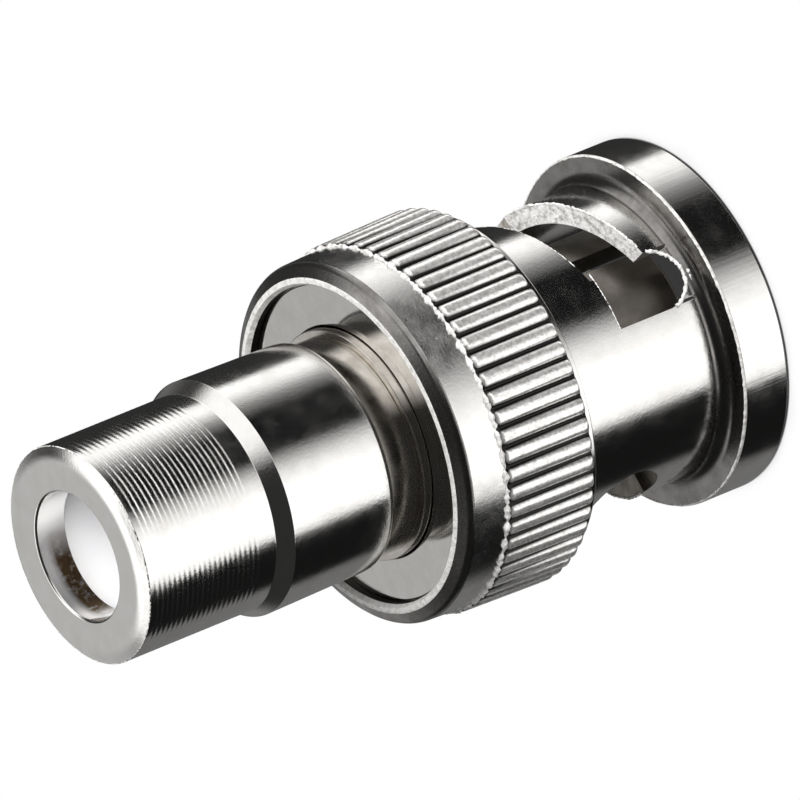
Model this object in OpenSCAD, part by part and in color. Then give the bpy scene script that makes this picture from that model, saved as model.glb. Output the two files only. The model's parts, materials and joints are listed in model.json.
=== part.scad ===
// Adapter from a bayonet coax plug to a phono socket, standing on the mouth of its coupling nut.
// Millimetres, +Z up the common axis, origin at the centre of the nut's mouth.

/* [Phono socket] */
// Overall length from the nut's mouth to the phono face
total_l = 27.35; // [26.5:0.05:30]
// Outer diameter of the sleeve that a phono plug grips
sleeve_d = 8.35; // [8.2:0.05:8.6]
// Length of that sleeve ahead of its bevel
sleeve_l = 5.85; // [4.5:0.05:6.5]
// Length of the bevel behind the sleeve
bevel_l = 0.6; // [0.3:0.05:1]
// Diameter of the polished barrel behind the bevel
barrel_d = 9.05; // [8.9:0.05:10]
// Narrowing of the barrel's radius towards the waist
barrel_taper = 0.1; // [0.02:0.02:0.2]
// Diameter of the waist between the barrel and the plug body
waist_d = 8.3; // [8.1:0.05:8.5]
// Length of the waist
waist_l = 1.3; // [0.8:0.05:2]
// Radius of the barrel's rear edge
barrel_round = 0.6; // [0.2:0.05:0.9]
// Width of the shallow chamfer round the phono face
face_edge_w = 0.7; // [0.3:0.05:0.9]
// Height of that chamfer
face_edge_l = 0.22; // [0.1:0.02:0.4]
// Diameter of the opening in the phono face
opening_d = 4.95; // [4.8:0.05:5.2]
// Depth of the metal lip round the opening
lip_l = 1.3; // [0.6:0.1:2]

/* [Insulators and contacts] */
// Diameter of the phono insulator
insulator_d = 6.8; // [6.4:0.05:7]
// Depth of the funnel in the phono insulator
funnel_l = 3.6; // [2:0.1:4.5]
// Straight land between the funnel and the contact
funnel_land = 0.5; // [0.3:0.1:0.8]
// Outer diameter of the phono contact tube
contact_d = 4; // [3.8:0.05:4.6]
// Bore of the phono contact tube, for the pin of a phono plug
socket_d = 3.25; // [3.15:0.05:3.4]
// Height of the phono contact's foot above the mouth
contact_z = 11.2; // [10.8:0.1:11.8]
// Floor of the phono contact, which holds the tail of the centre pin
contact_floor = 1.3; // [1.2:0.1:1.5]
// Depth of the blind seat for that tail
pin_seat = 0.9; // [0.5:0.1:1]
// Diameter of the centre pin of the plug
pin_d = 1.35; // [1.3:0.01:1.4]
// Height of the pin's tip above the mouth
pin_z = 4.7; // [4:0.1:6]
// Width of the slits in the phono contact
slit_w = 0.45; // [0.3:0.05:0.7]
// Length of the slits in the phono contact
socket_slit_l = 5; // [3:0.1:7]
// Outer diameter of the plug insulator's tube
tube_d = 6.5; // [6:0.05:6.6]
// Inner diameter of the plug insulator's tube
tube_bore = 4.85; // [4.75:0.05:5]
// Height of the tube's end above the mouth
tube_z = 6.2; // [5.5:0.1:7]
// Height of the floor of the plug insulator's tube
tube_floor_z = 9.4; // [9:0.1:9.8]
// Diameter of the insulator's stem inside the plug body
stem_d = 5.6; // [5.2:0.05:6]

/* [Plug body] */
// Outer diameter of the spring sleeve that enters the mating jack
spring_d = 8.1; // [8:0.02:8.2]
// Wall of the spring sleeve
spring_wall = 0.7; // [0.5:0.05:0.75]
// Height of the spring sleeve's tip above the mouth
spring_z = 4.6; // [4:0.1:6]
// Length of the slits between the spring fingers
finger_l = 4.4; // [3:0.1:5]
// Width of the slits between the spring fingers
finger_gap = 0.8; // [0.4:0.05:1]
// Angle of the first slit of the spring sleeve round the axis
finger_turn = 45; // [0:1:90]
// Depth that the spring sleeve is pressed into the collar
spring_seat = 1; // [0.6:0.1:1.2]
// Radial room round the collar that the nut pulls on
collar_room = 0.2; // [0.15:0.05:0.4]
// Thickness of the collar
collar_l = 1.4; // [1.2:0.1:1.6]
// Diameter of the neck that the back washer slides on
neck_d = 8.85; // [8.6:0.05:9]
// Height of the neck's end above the mouth
neck_z = 14.95; // [14.8:0.05:15.4]
// Diameter of the spigot that holds the phono shell
spigot_d = 7.2; // [6.9:0.05:7.4]
// Length of the spigot
spigot_l = 3.3; // [2:0.1:4]
// Outer diameter of the seal ring
seal_d = 9.5; // [9.2:0.05:9.6]
// Thickness of the seal ring
seal_l = 0.7; // [0.4:0.05:1]

/* [Coupling nut] */
// Diameter of the flange at the mouth
flange_d = 13.55; // [13:0.05:14.5]
// Thickness of the flange
flange_l = 2.05; // [1.6:0.05:2.4]
// Chamfer on the rear edge of the flange
flange_chamfer = 0.08; // [0.04:0.02:0.3]
// Chamfer on the two edges of the mouth
mouth_chamfer = 0.12; // [0.05:0.01:0.2]
// Outer diameter of the nut's barrel
nut_d = 11.35; // [11.2:0.05:12]
// Bore of the nut, for the shell of the mating jack
bore_d = 9.8; // [9.7:0.02:10]
// Fillet between the barrel and the flange
nut_fillet = 0.5; // [0.2:0.05:0.8]
// Height of the knurled grip's front face above the mouth
grip_z = 9; // [8.8:0.05:9.6]
// Plain ring ahead of the knurl
front_ring_l = 0.25; // [0.1:0.05:0.5]
// Length of the knurl
knurl_l = 3.9; // [3:0.05:4.3]
// Diameter over the knurl
knurl_d = 14.5; // [14.3:0.05:15.2]
// Depth of the knurl
knurl_depth = 0.28; // [0.15:0.01:0.32]
// Number of ribs in the knurl
knurl_ribs = 60; // [40:2:80]
// Narrowing of the knurl's radius towards the shoulder
knurl_taper = 0.1; // [0.02:0.02:0.14]
// Step from the knurl down to the smooth shoulder behind it
shoulder_drop = 0.25; // [0.2:0.01:0.26]
// Narrowing of the shoulder's radius towards the rim
shoulder_taper = 0.06; // [0:0.02:0.1]
// Height of the nut's rear rim above the mouth
rim_z = 15.05; // [14.9:0.05:15.6]
// Radius of the rim's outer edge
rim_round = 0.35; // [0.1:0.05:0.5]
// Reach of the rolled rim over the back washer
rim_lip = 0.35; // [0.15:0.05:0.4]
// Height of the rolled rim above the back washer
rim_l = 0.85; // [0.6:0.05:1]
// Height of the collar seat inside the nut
seat_z = 10.95; // [10.8:0.05:11.1]
// Wall of the grip between the knurl's valleys and the chamber
grip_wall = 0.32; // [0.25:0.01:0.5]

/* [Bayonet slots] */
// Width of the axial entry, for the stud of the mating jack
entry_w = 2.35; // [2.1:0.05:2.6]
// Diameter across the two entry grooves in the flange
entry_d = 11.16; // [11.1:0.02:11.3]
// Angle of the first entry round the axis
entry_angle = -76; // [-90:1:-60]
// Height of the round front end of the slot in the barrel
entry_z = 2.45; // [2.3:0.05:2.8]
// Height of the straight rear end of the entry
entry_top = 5.9; // [5.5:0.05:6.1]
// Turn of the ramp from the entry to the detent
ramp_turn = 92; // [85:1:105]
// Width of the ramp along the axis
ramp_w = 2.65; // [2.2:0.05:2.8]
// Height of the ramp's middle where it leaves the entry
ramp_z = 4.6; // [4.4:0.05:5]
// Rise of the ramp over its turn
ramp_rise = 1.5; // [1.2:0.05:1.9]
// Diameter of the detent that the stud drops into
detent_d = 3; // [2.8:0.05:3.2]
// Drop from the ramp's middle to the detent's middle
detent_drop = 0.1; // [0.05:0.05:0.4]

/* [Washers] */
// Thickness of the back washer
washer_l = 0.85; // [0.6:0.05:0.95]
// Thickness of the wave washer's strip
wave_strip = 0.25; // [0.2:0.05:0.35]
// Number of waves round the wave washer
wave_count = 3; // [3:1:4]

/* [Fits] */
// Radial gap of a running fit
run_gap = 0.05; // [0.02:0.01:0.08]
// Radial gap between pieces that are pressed or screwed together
seat_gap = 0.02; // [0.01:0.01:0.04]

/* [Hidden] */
$fn = 96;

// Colours of the metals, the insulators and the seal
nickel = [0.80, 0.79, 0.77];
satin_nickel = [0.68, 0.67, 0.65];
spring_steel = [0.60, 0.60, 0.60];
gold = [0.85, 0.68, 0.32];
white_plastic = [0.93, 0.95, 0.97];
seal_rubber = [0.75, 0.25, 0.18];

// Overlap of a cutter past the face that it cuts
past = 0.5;
// Steps in a rounded edge
round_steps = 6;
// Steps along a bayonet ramp
ramp_steps = 20;
// Steps round the wave washer
wave_steps = 48;

// Heights of the plug body and what stacks on its collar
collar_z = seat_z + run_gap;
collar_top = collar_z + collar_l;
washer_top = rim_z - rim_l;
washer_z = washer_top - washer_l;
spring_top = collar_z + spring_seat;
spigot_top = neck_z + spigot_l;
sleeve_z = total_l - sleeve_l;
barrel_top = sleeve_z - bevel_l;
waist_top = neck_z + waist_l;
insulator_top = total_l - lip_l;
socket_z = contact_z + contact_floor;
pin_top = contact_z + pin_seat;
funnel_z = insulator_top - funnel_l;
contact_top = funnel_z - funnel_land;
knurl_z = grip_z + front_ring_l;
knurl_top = knurl_z + knurl_l;

// Diameters inside and behind the grip
shoulder_d = knurl_d - 2 * shoulder_drop;
chamber_d = knurl_d - 2 * (knurl_depth + grip_wall);
rim_bore = chamber_d - 2 * rim_lip;
collar_d = chamber_d - 2 * collar_room;

// Angle from the middle of the entry at which the ramp leaves it
ramp_start = asin(entry_w / nut_d) * 3 / 4;

// Turn of the nut's blank that keeps the seam of its round faces between the two slots
seam_turn = entry_angle + ramp_turn + 45;

// Points of an arc about (x, y), from angle a to angle b
function arc(x, y, r, a, b) =
    [for (i = [0:round_steps]) let (t = a + (b - a) * i / round_steps) [x + r * cos(t), y + r * sin(t)]];

// Solid of revolution from points of radius and height
module turned(points) {
    rotate_extrude() polygon(points);
}

// Plain ring between two heights
module ring(outer, inner, z0, z1) {
    turned([[inner / 2, z0], [outer / 2, z0], [outer / 2, z1], [inner / 2, z1]]);
}

// Radial slits across a tube of the given diameter, two cuts for four fingers
module slits(diameter, width, z0, z1) {
    for (turn = [0, 90])
        rotate([0, 0, turn])
            translate([-diameter / 2 - past, -width / 2, z0])
                cube([diameter + 2 * past, width, z1 - z0]);
}

// Turned shell of the phono socket, from the neck of the plug body to the phono face
module phono_shell() {
    rear_r = barrel_d / 2 - barrel_taper;
    color(nickel)
        turned(concat(
            [[spigot_d / 2 + seat_gap, neck_z], [waist_d / 2, neck_z], [waist_d / 2, waist_top]],
            arc(rear_r - barrel_round, waist_top + barrel_round, barrel_round,
                -acos((waist_d / 2 - rear_r + barrel_round) / barrel_round), 0),
            [[barrel_d / 2, barrel_top], [sleeve_d / 2, sleeve_z],
             [sleeve_d / 2, total_l - face_edge_l], [sleeve_d / 2 - face_edge_w, total_l],
             [opening_d / 2, total_l], [opening_d / 2, insulator_top],
             [insulator_d / 2 + seat_gap, insulator_top], [insulator_d / 2 + seat_gap, spigot_top],
             [spigot_d / 2 + seat_gap, spigot_top]]));
}

// White insulator behind the lip, with a funnel that leads the pin into the contact
module phono_insulator() {
    color(white_plastic)
        turned([[contact_d / 2 + seat_gap, spigot_top], [insulator_d / 2, spigot_top],
            [insulator_d / 2, insulator_top], [opening_d / 2, insulator_top],
            [socket_d / 2 + seat_gap, funnel_z], [socket_d / 2 + seat_gap, contact_top],
            [contact_d / 2 + seat_gap, contact_top]]);
}

// Spring tube that takes the pin of a phono plug, slit into four fingers
module phono_contact() {
    color(gold)
        difference() {
            turned([[0, pin_top + seat_gap], [pin_d / 2 + seat_gap, pin_top + seat_gap],
                [pin_d / 2 + seat_gap, contact_z], [contact_d / 2, contact_z],
                [contact_d / 2, contact_top], [socket_d / 2, contact_top],
                [socket_d / 2, socket_z], [0, socket_z]]);
            slits(contact_d, slit_w, contact_top - socket_slit_l, contact_top + past);
        }
}

// Body of the plug: the collar, the neck and the spigot that the phono shell is screwed on
module plug_body() {
    color(satin_nickel)
        turned([[spring_d / 2 + seat_gap, collar_z], [collar_d / 2, collar_z],
            [collar_d / 2, collar_top], [neck_d / 2, collar_top], [neck_d / 2, neck_z],
            [spigot_d / 2, neck_z], [spigot_d / 2, spigot_top], [stem_d / 2 + seat_gap, spigot_top],
            [stem_d / 2 + seat_gap, spring_top], [spring_d / 2 + seat_gap, spring_top]]);
}

// Outer contact of the plug, slit into four spring fingers
module spring_sleeve() {
    bore = spring_d / 2 - spring_wall;
    lead = spring_wall / 3;
    color(satin_nickel)
        difference() {
            turned([[bore, spring_z], [spring_d / 2 - lead, spring_z],
                [spring_d / 2, spring_z + lead], [spring_d / 2, spring_top], [bore, spring_top]]);
            rotate([0, 0, finger_turn])
                slits(spring_d, finger_gap, spring_z - past, spring_z + finger_l);
        }
}

// White insulator of the plug: a tube round the pin, a floor, and a stem round the phono contact
module plug_insulator() {
    base = spring_d / 2 - spring_wall - seat_gap;
    color(white_plastic)
        turned([[pin_d / 2 + seat_gap, tube_floor_z], [tube_bore / 2, tube_floor_z],
            [tube_bore / 2, tube_z], [tube_d / 2, tube_z], [tube_d / 2, tube_floor_z],
            [base, tube_floor_z], [base, spring_top], [stem_d / 2, spring_top],
            [stem_d / 2, spigot_top], [contact_d / 2 + seat_gap, spigot_top],
            [contact_d / 2 + seat_gap, contact_z], [pin_d / 2 + seat_gap, contact_z]]);
}

// Centre pin, with a round nose and its tail in the floor of the phono contact
module centre_pin() {
    color(gold)
        turned(concat(arc(0, pin_z + pin_d / 2, pin_d / 2, -90, 0),
            [[pin_d / 2, pin_top], [0, pin_top]]));
}

// Seal that the rim of the mating jack presses on
module seal_ring() {
    color(seal_rubber)
        ring(seal_d, spring_d + 2 * seat_gap, collar_z - seal_l, collar_z);
}

// Wave washer, a flat strip bent into waves between the collar and the back washer
module wave_washer() {
    inner = neck_d / 2 + 2 * run_gap;
    outer = collar_d / 2 - 2 * run_gap;
    lift = (washer_z - collar_top - wave_strip) / 2;
    points = [for (i = [0:wave_steps - 1])
        let (turn = 360 * i / wave_steps, z = collar_top + lift * (1 - cos(wave_count * turn)))
        for (corner = [[inner, z], [outer, z], [outer, z + wave_strip], [inner, z + wave_strip]])
            [corner[0] * cos(turn), corner[0] * sin(turn), corner[1]]];
    faces = [for (i = [0:wave_steps - 1], side = [0:3])
        let (a = 4 * i, b = 4 * ((i + 1) % wave_steps), next = (side + 1) % 4)
        for (corners = [[a + side, b + side, b + next], [a + side, b + next, a + next]]) corners];
    color(spring_steel)
        polyhedron(points, faces);
}

// Back washer that closes the nut and slides on the neck
module back_washer() {
    color(satin_nickel)
        ring(chamber_d - 2 * run_gap, neck_d + 2 * run_gap, washer_z, washer_top);
}

// Outline of the valleys between the ribs; the crowns stand past the blank that they are cut from
module knurl_outline() {
    valley = knurl_d / 2 - knurl_depth;
    pitch = 360 / knurl_ribs;
    rib = [[-0.5, 0], [-0.36, 0.7], [-0.16, 1.3], [0.16, 1.3], [0.36, 0.7]];
    polygon([for (i = [0:knurl_ribs - 1], p = rib)
        let (turn = pitch * (i + 0.5 + p[0]), r = valley + knurl_depth * p[1])
        [r * cos(turn), r * sin(turn)]]);
}

// Grooves between the ribs, as one ring-shaped cutter
module knurl_grooves() {
    translate([0, 0, knurl_z - front_ring_l / 2])
        linear_extrude(knurl_l + front_ring_l / 2 - seat_gap)
            difference() {
                circle(d = knurl_d + 2 * past);
                knurl_outline();
            }
}

// Blank of the nut: mouth flange, barrel, grip and smooth shoulder, bored from both ends
module nut_blank() {
    front_ring_r = knurl_d / 2 - knurl_depth - run_gap;
    rim_r = shoulder_d / 2 - shoulder_taper;
    turned(concat(
        [[bore_d / 2 + mouth_chamfer, 0], [flange_d / 2 - mouth_chamfer, 0],
         [flange_d / 2, mouth_chamfer], [flange_d / 2, flange_l - flange_chamfer],
         [flange_d / 2 - flange_chamfer, flange_l]],
        arc(nut_d / 2 + nut_fillet, flange_l + nut_fillet, nut_fillet, 270, 180),
        [[nut_d / 2, grip_z], [front_ring_r, grip_z], [front_ring_r, knurl_z],
         [knurl_d / 2, knurl_z + knurl_depth], [knurl_d / 2 - knurl_taper, knurl_top - knurl_depth],
         [shoulder_d / 2, knurl_top]],
        arc(rim_r - rim_round, rim_z - rim_round, rim_round, 0, 90),
        [[rim_bore / 2, rim_z], [rim_bore / 2, washer_top], [chamber_d / 2, washer_top],
         [chamber_d / 2, seat_z], [bore_d / 2, seat_z], [bore_d / 2, mouth_chamfer]]));
}

// Axial entry: a groove through the flange, and a slot through the barrel with a round front end
module entry_cut() {
    slot_r = nut_d / 2 + past;
    translate([0, -entry_w / 2, -past])
        cube([entry_d / 2, entry_w, entry_top + past]);
    translate([0, -entry_w / 2, entry_z + entry_w / 2])
        cube([slot_r, entry_w, entry_top - entry_z - entry_w / 2]);
    translate([0, 0, entry_z + entry_w / 2])
        rotate([0, 90, 0]) cylinder(h = slot_r, d = entry_w);
}

// Rising ramp from the entry to the detent, through the wall of the barrel
module ramp_cut() {
    inner = bore_d / 2 - past;
    outer = nut_d / 2 + past;
    points = [for (i = [0:ramp_steps])
        let (turn = ramp_start + (ramp_turn - ramp_start) * i / ramp_steps,
             z = ramp_z + ramp_rise * turn / ramp_turn)
        for (corner = [[inner, -1], [outer, -1], [outer, 1], [inner, 1]])
            [corner[0] * cos(turn), corner[0] * sin(turn), z + corner[1] * ramp_w / 2]];
    last = 4 * ramp_steps;
    faces = concat([[0, 2, 1], [0, 3, 2], [last, last + 1, last + 2], [last, last + 2, last + 3]],
        [for (i = [0:ramp_steps - 1], side = [0:3])
            let (a = 4 * i, b = a + 4, next = (side + 1) % 4)
            for (corners = [[a + side, b + next, b + side], [a + side, a + next, b + next]]) corners]);
    polyhedron(points, faces);
}

// Round detent at the end of the ramp
module detent_cut() {
    z = ramp_z + ramp_rise - detent_drop;
    rotate([0, 0, ramp_turn]) translate([0, 0, z])
        rotate([0, 90, 0]) cylinder(h = nut_d / 2 + past, d = detent_d);
}

// Coupling nut with its knurled grip and two bayonet slots
module coupling_nut() {
    color(nickel)
        difference() {
            rotate([0, 0, seam_turn]) nut_blank();
            knurl_grooves();
            for (turn = [0, 180])
                rotate([0, 0, entry_angle + turn]) {
                    entry_cut();
                    ramp_cut();
                    detent_cut();
                }
        }
}

phono_shell();
phono_insulator();
phono_contact();
plug_body();
spring_sleeve();
plug_insulator();
centre_pin();
seal_ring();
wave_washer();
back_washer();
coupling_nut();
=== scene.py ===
"""Looks of the bayonet plug to phono socket adapter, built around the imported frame.

Lengths in this script are millimetres, angles are degrees; meshes are scaled to metres when made.
"""

import json
import math

import bpy
import numpy as np
from mathutils import Matrix, Vector


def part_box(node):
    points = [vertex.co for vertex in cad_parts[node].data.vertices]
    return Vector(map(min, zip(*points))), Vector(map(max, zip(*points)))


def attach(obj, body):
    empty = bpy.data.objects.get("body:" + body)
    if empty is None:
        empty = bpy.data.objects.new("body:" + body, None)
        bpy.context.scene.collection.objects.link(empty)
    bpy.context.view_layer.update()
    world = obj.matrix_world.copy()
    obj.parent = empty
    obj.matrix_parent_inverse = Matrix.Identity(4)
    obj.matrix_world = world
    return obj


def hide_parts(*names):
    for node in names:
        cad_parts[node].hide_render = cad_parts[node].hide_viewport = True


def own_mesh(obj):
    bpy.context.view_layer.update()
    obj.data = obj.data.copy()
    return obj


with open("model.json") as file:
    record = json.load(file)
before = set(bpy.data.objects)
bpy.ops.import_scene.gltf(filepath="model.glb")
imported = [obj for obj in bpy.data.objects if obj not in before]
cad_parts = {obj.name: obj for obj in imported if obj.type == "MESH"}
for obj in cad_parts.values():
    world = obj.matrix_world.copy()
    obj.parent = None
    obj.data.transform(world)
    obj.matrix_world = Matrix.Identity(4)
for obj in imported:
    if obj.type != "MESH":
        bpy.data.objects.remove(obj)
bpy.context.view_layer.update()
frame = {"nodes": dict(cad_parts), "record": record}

MM = 0.001


def box_mm(node):
    """Lowest and highest corner of a CAD node, in millimetres."""
    low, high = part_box(node)
    return low / MM, high / MM


# Sizes that the frame gives
shell_low, shell_high = box_mm("phono_shell")
washer_low, washer_high = box_mm("back_washer")
body_low, body_high = box_mm("plug_body")
nut_high = box_mm("coupling_nut")[1]

total_l = shell_high.z
neck_z = shell_low.z
barrel_r = shell_high.x
spigot_top = body_high.z
collar_z = body_low.z
collar_r = body_high.x
washer_z = washer_low.z
washer_top = washer_high.z
rim_z = nut_high.z

# Fits and roundings
run_gap = 0.05
seat_gap = 0.02
past = 0.5
hair = 0.01
sharp = 0.02
fine = 0.03
edge = 0.04
crisp = 0.06
soft = 0.1

# Phono socket
sleeve_r = 8.35 / 2
sleeve_l = 5.85
bevel_l = 0.6
barrel_taper = 0.1
barrel_round = 0.264
waist_r = 8.3 / 2
waist_l = 1.3
face_edge_w = 0.5
face_edge_l = 0.16
face_round = 1.6
opening_r = 4.95 / 2
lip_l = 1.3
insulator_r = 6.8 / 2
insulator_top = total_l - lip_l
funnel_l = 3.6
funnel_land = 0.5
funnel_round = 0.3
contact_r = 4.0 / 2
socket_r = 3.25 / 2

# Turned rings on the sleeve
ring_pitch = 0.23
ring_depth = 0.007
ring_wander = 0.1
ring_beat = 2.4
ring_start = 0.32
ring_end = 5.1
ring_steps = 8

# Plug body, spring sleeve and wave washer
spring_r = 8.1 / 2
spring_wall = 0.7
spring_seat = 1.0
spring_tip = 1.9
spring_lead = 0.25
finger_l = 6.0
finger_gap = 0.8
finger_turn = 45.0
collar_l = 1.4
collar_top = collar_z + collar_l
neck_r = 8.85 / 2
spigot_r = 7.2 / 2
stem_r = 5.6 / 2
wave_strip = 0.25
wave_count = 3

# Coupling nut
flange_r = 13.55 / 2
flange_l = 2.05
flange_chamfer = 0.08
mouth_chamfer = 0.12
nut_r = 11.35 / 2
bore_r = 9.8 / 2
nut_fillet = 0.5
grip_z = 9.0
grip_round = 0.08
front_ring_l = 0.25
knurl_z = grip_z + front_ring_l
knurl_l = 3.9
knurl_top = knurl_z + knurl_l
knurl_r = 14.5 / 2
knurl_depth = 0.28
knurl_ribs = 60
knurl_taper = 0.1
knurl_end = 0.28
knurl_crown = 2.6
shoulder_r = knurl_r - 0.25
shoulder_taper = 0.06
chamber_r = knurl_r - knurl_depth - 0.32
seat_z = 10.95

# Rear rim of the nut, and the washer's face under it
rim_r = shoulder_r - shoulder_taper
rim_round_l = 0.3
rim_round = 0.3
rim_turn_r = knurl_r - 0.86
rim_turn_l = 0.02
rim_crest_r = knurl_r - 1.03
rim_bevel_l = 0.19
rim_bevel_round = 0.05
rim_bore_r = knurl_r - 1.15
rim_relief = 0.03
washer_depth = 0.45

# Bayonet slots
entry_w = 2.35
entry_r = 11.16 / 2
entry_angle = -76.0
entry_z = 2.45
entry_top = 5.9
ramp_turn = 92.0
ramp_start = 9.0
ramp_w = 2.65
ramp_z = 4.6
ramp_rise = 1.5
detent_d = 3.0
detent_drop = 0.1

# Burrs: thickness, depth of the burr's line below the surface, and its shift along the axis
burr_of = {
    "flange": (0.05, 0.055, -0.02),
    "knurl": (0.15, -0.01, 0.0),
    "face": (0.03, 0.03, -0.01),
    "ramp": (0.07, 0.03, -0.02),
    "rear": (0.035, 0.02, 0.01),
    "window": (0.035, 0.02, 0.01),
    "mouth": (0.1, 0.01, 0.0),
    "exit": (0.12, -0.02, -0.2),
}
burr_least = 0.45
bead_least = 0.2
burr_stray = 0.35
ramp_burr_span = (ramp_start + 6, ramp_turn - 10)
rear_burr_span = (17, ramp_turn - 19)
mouth_burr_out = 0.02
mouth_burr_span = (195, 345)
exit_burr_from = -5
exit_burr_step = 0.9
exit_burr_fall = 0.005

# Mesh resolution
turn_steps = 240
knurl_steps = 12
corner_steps = 5
nut_corner_steps = 4
slot_steps = 48
burr_sides = 7
burr_round_steps = 420
bead_steps = 8
burr_slot_steps = 120
burr_short_steps = 40
exit_burr_steps = 18
sharp_angle = 35


# Outlines

def outline(corners, steps=corner_steps):
    """Closed outline of (radius, height, rounding) corners as one list of points and normals per corner."""
    runs = []
    count = len(corners)
    for i, (r, z, rounding, *_) in enumerate(corners):
        here = np.array((r, z))
        before = here - np.array(corners[i - 1][:2])
        after = np.array(corners[(i + 1) % count][:2]) - here
        before /= np.linalg.norm(before)
        after /= np.linalg.norm(after)
        turn = math.atan2(before[0] * after[1] - before[1] * after[0], before @ after)
        side = math.copysign(1, turn)
        normal = np.array((before[1], -before[0]))
        centre = here - before * rounding * math.tan(abs(turn) / 2) - side * rounding * normal
        run = []
        for k in range(steps + 1):
            c, s = math.cos(turn * k / steps), math.sin(turn * k / steps)
            n = np.array((c * normal[0] - s * normal[1], s * normal[0] + c * normal[1]))
            run.append((centre + side * rounding * n, n))
        runs.append(run)
    return runs


def zone_after(corner):
    """Material number of the face that follows a corner: its fourth value, or the first material."""
    return corner[3] if len(corner) > 3 else 0


def turned_rings(r, z0, z1):
    """Rings left by the turning tool on a cylinder, as points and normals up its height."""
    count = round((z1 - z0) / ring_pitch)
    run = []
    for k in range(count * ring_steps + 1):
        wave = 2 * math.pi * k / ring_steps
        depth = ring_depth * (1 - ring_wander + ring_wander * math.sin(ring_beat * (k // ring_steps)))
        slope = -depth / 2 * math.sin(wave) * 2 * math.pi * count / (z1 - z0)
        n = np.array((1, -slope))
        z = z0 + (z1 - z0) * k / (count * ring_steps)
        run.append((np.array((r - depth / 2 * (1 - math.cos(wave)), z)), n / np.linalg.norm(n)))
    return run


# Meshes

def new_object(name, verts, faces):
    """Object in the scene from vertices in millimetres and faces."""
    mesh = bpy.data.meshes.new(name)
    mesh.from_pydata((np.asarray(verts) * MM).tolist(), [], faces)
    mesh.update()
    obj = bpy.data.objects.new(name, mesh)
    bpy.context.scene.collection.objects.link(obj)
    return obj


def dress(obj, mats):
    """Gives an object these materials and no others."""
    obj.data.materials.clear()
    for mat in mats:
        obj.data.materials.append(mat)


def shade_smooth(mesh):
    """Smooth shading on every face."""
    mesh.polygons.foreach_set("use_smooth", [True] * len(mesh.polygons))


def ring_faces(rows, columns):
    """Quads of a grid that closes on itself both ways."""
    faces = []
    for j in range(rows):
        a, b = j * columns, (j + 1) % rows * columns
        for i in range(columns):
            k = (i + 1) % columns
            faces.append((a + i, a + k, b + k, b + i))
    return faces


def turned(name, corners, mats, rings=None, lift=0.0, waves=0):
    """Solid of revolution about Z, with the outline's own normals.

    rings is a place among the corners and the tool rings that go in there. lift bends the solid into waves.
    """
    runs = list(zip(map(zone_after, corners), outline(corners)))
    if rings:
        place, run = rings
        runs.insert(place, (0, run))
    profile = [step for zone, run in runs for step in run]
    zones = [zone for zone, run in runs for step in run]
    columns = turn_steps
    angle = np.arange(columns) * 2 * math.pi / columns
    c, s = np.cos(angle), np.sin(angle)
    r, z = np.array([p for p, n in profile]).T
    nr, nz = np.array([n for p, n in profile]).T
    spread = np.ones(columns)
    rise = lift * (1 - np.cos(waves * angle))
    slope = np.outer(nz / r, lift * waves * np.sin(waves * angle))
    verts = np.stack([np.outer(r, c), np.outer(r, s), np.outer(z, spread) + rise], axis=-1)
    normals = np.stack(
        [np.outer(nr, c) + slope * s, np.outer(nr, s) - slope * c, np.outer(nz, spread)], axis=-1)
    normals /= np.linalg.norm(normals, axis=-1, keepdims=True)
    obj = new_object(name, verts.reshape(-1, 3), ring_faces(len(profile), columns))
    dress(obj, mats)
    shade_smooth(obj.data)
    obj.data.polygons.foreach_set("material_index", np.repeat(zones, columns))
    obj.data.normals_split_custom_set_from_vertices(normals.reshape(-1, 3).tolist())
    return obj


# Shader nodes

def ramp_node(tree, fac, stops):
    """Colour ramp of (place, grey level) stops; returns its output."""
    ramp = tree.nodes.new("ShaderNodeValToRGB")
    elements = ramp.color_ramp.elements
    while len(elements) > 1:
        elements.remove(elements[-1])
    for i, (place, level) in enumerate(stops):
        element = elements[0] if i == 0 else elements.new(place)
        element.position = place
        element.color = (level, level, level, 1)
    tree.links.new(fac, ramp.inputs[0])
    return ramp.outputs[0]


def set_inputs(tree, node, values):
    """Sets or links a node's first inputs; returns its output."""
    for socket, value in zip(node.inputs, values):
        if isinstance(value, (int, float)):
            socket.default_value = value
        else:
            tree.links.new(value, socket)
    return node.outputs[0]


def math_node(tree, operation, a, b=0.0, c=0.0):
    """Math node on sockets or numbers; returns its output."""
    node = tree.nodes.new("ShaderNodeMath")
    node.operation = operation
    return set_inputs(tree, node, (a, b, c))


def vector_node(tree, x, y, z):
    """Vector from three sockets or numbers; returns its output."""
    return set_inputs(tree, tree.nodes.new("ShaderNodeCombineXYZ"), (x, y, z))


def mix_node(tree, fac, a, b):
    """Mix of two colours, given as sockets or as values; returns its output."""
    mix = tree.nodes.new("ShaderNodeMix")
    mix.data_type = "RGBA"
    colours = [socket for socket in mix.inputs if socket.type == "RGBA"]
    factor = [socket for socket in mix.inputs if socket.name == "Factor" and socket.type == "VALUE"][0]
    tree.links.new(fac, factor)
    for socket, value in zip(colours, (a, b)):
        if isinstance(value, tuple):
            socket.default_value = (*value, 1)
        else:
            tree.links.new(value, socket)
    return [socket for socket in mix.outputs if socket.type == "RGBA"][0]


def own_point(tree):
    """Socket of a point in a piece's own coordinates."""
    return tree.nodes.new("ShaderNodeTexCoord").outputs["Object"]


def split_node(tree, vector):
    """The three sockets of a vector."""
    split = tree.nodes.new("ShaderNodeSeparateXYZ")
    tree.links.new(vector, split.inputs[0])
    return split.outputs


def turn_of(tree, x, y):
    """Turn of a point about the axis."""
    return math_node(tree, "ARCTAN2", y, x)


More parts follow.
